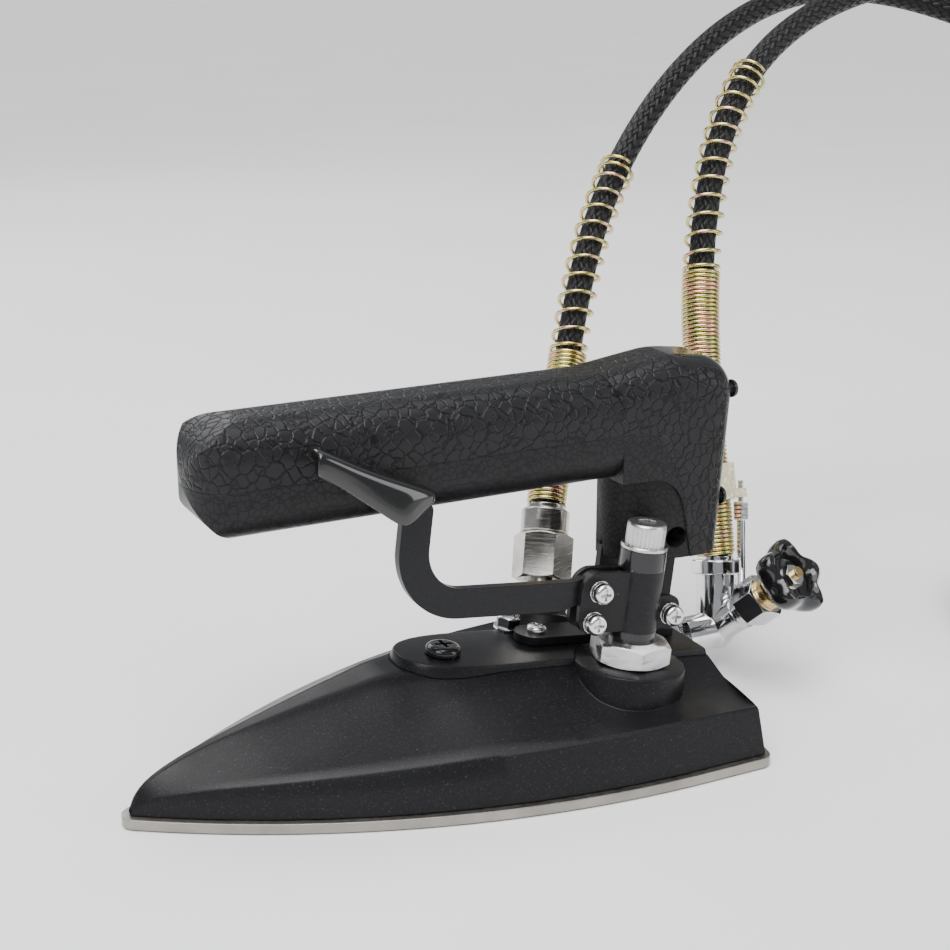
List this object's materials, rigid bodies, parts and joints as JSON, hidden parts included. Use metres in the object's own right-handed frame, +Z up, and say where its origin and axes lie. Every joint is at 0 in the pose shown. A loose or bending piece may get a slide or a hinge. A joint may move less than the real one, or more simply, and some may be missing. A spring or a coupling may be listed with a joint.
{
  "type": "industrial steam iron",
  "caption": "Industrial steam iron: pointed sole, black cover, leather-grained grip on a rear leg, thumb lever on a steam valve, angled shut-off valve and braided hoses with spring guards.",
  "frame": {"origin": "on the ironing face of the sole plate, on its centre line, half way along the 212 mm between the nose and the square rear corners", "axes": "-X towards the nose, +X towards the hoses, -Y the thumb lever's side, +Z up"},
  "size_m": [0.5853, 0.2517, 0.2594],
  "materials": {
    "sole_alloy": "satin, ironing face polished",
    "gasket": "matt graphite fibre",
    "cast_chest": "as cast",
    "zinc_steel": "bright zinc",
    "black_cover": "fine speckled satin black",
    "black_screw": "gloss black",
    "bright_chrome": "mirror",
    "sealed_nut": "wrapped in white thread tape",
    "black_column": "gloss black",
    "brass": "turned",
    "seal_rubber": "moulded",
    "spring_steel": "drawn wire",
    "satin_cap": "fine fluted, satin",
    "black_clamp": "satin black",
    "chrome_screw": "plated",
    "black_lever": "satin black",
    "gloss_paddle": "high gloss black",
    "nickel": "satin nickel plate with turning lines",
    "wheel_black": "gloss black phenolic",
    "bright_nut": "bright zinc",
    "grip_black": "leather-grained satin black",
    "lower_black": "smoother satin black",
    "plate_black": "smooth black",
    "clip_ivory": "natural nylon",
    "hose_braid": "rubber under woven black braid",
    "yellow_zinc": "yellow passivated spring wire"
  },
  "bodies": {
    "iron": {"base_nut": "sealed_nut", "bracket_screws": "chrome_screw", "cap_washer": "zinc_steel", "chest_gasket": "gasket", "chest_screws": "zinc_steel", "clamp_left": "black_clamp", "clamp_nuts": "zinc_steel", "clamp_right": "black_clamp", "clamp_screws": "chrome_screw", "clamp_spacers": "zinc_steel", "cover_nut": "bright_chrome", "cover_screw": "black_screw", "cover_shell": "black_cover", "flat_washers": "chrome_screw", "guard_clip": "clip_ivory", "handle_bracket": "black_clamp", "handle_lower_shell": "lower_black", "handle_rear_plate": "plate_black", "handle_screws": "zinc_steel", "handle_upper_shell": "grip_black", "inlet_ferrule": "nickel", "inlet_hose": "hose_braid", "inlet_hose_coil": "hose_braid", "inlet_hose_end": "nickel", "inlet_nipple": "nickel", "inlet_spring_guard": "yellow_zinc", "inlet_swivel_nut": "nickel", "outlet_body": "bright_chrome", "outlet_bonnet": "bright_chrome", "outlet_collar": "bright_chrome", "outlet_ferrule": "bright_chrome", "outlet_hose": "hose_braid", "outlet_hose_coil": "hose_braid", "outlet_hose_end": "nickel", "outlet_nipple": "bright_chrome", "outlet_spring_guard": "yellow_zinc", "packing_nut": "brass", "pivot_screw": "chrome_screw", "plate_screws": "black_screw", "plunger_spring": "spring_steel", "sole_plate": "sole_alloy", "spring_washers": "zinc_steel", "steam_chest": "cast_chest", "stem_packing": "seal_rubber", "support_nut": "bright_chrome", "support_rod": "bright_chrome", "support_stud": "zinc_steel", "valve_body": "black_column", "valve_cap": "satin_cap", "valve_seat": "brass"},
    "lever": {"lever_arm": "black_lever", "thumb_paddle": "gloss_paddle"},
    "plunger": {"valve_plunger": "brass", "plunger_ring": "seal_rubber"},
    "disc": {"outlet_disc": "seal_rubber"},
    "wheel": {"outlet_stem": "brass", "handwheel": "wheel_black", "wheel_nut": "bright_nut"}
  },
  "joints": [
    {"name": "thumb_lever", "type": "hinge", "parent": "iron", "child": "lever", "pos_m": [0.05629, -0.021, 0.06117], "axis": [0, -1, 0], "range_deg": [0, 8], "stiffness_Nm_per_rad": 0.6, "springref_deg": -8.59},
    {"name": "plunger_lift", "type": "slide", "parent": "iron", "child": "plunger", "axis": [0.1219, 0, 0.9925], "range_m": [0, 0.003], "deforming": ["plunger_spring"]},
    {"name": "disc_lift", "type": "slide", "parent": "iron", "child": "disc", "axis": [0.2894, -0.6747, 0.679], "range_m": [0, 0.00251]},
    {"name": "wheel_turn", "type": "hinge", "parent": "disc", "child": "wheel", "pos_m": [0.1516, -0.01, 0.0462], "axis": [0.2894, -0.6747, 0.679], "range_deg": [0, 720]}
  ],
  "couplings": [
    {"joint": "plunger_lift", "follows": "thumb_lever", "m_per_rad": 0.0212},
    {"joint": "disc_lift", "follows": "wheel_turn", "m_per_rad": 0.00019894}
  ]
}
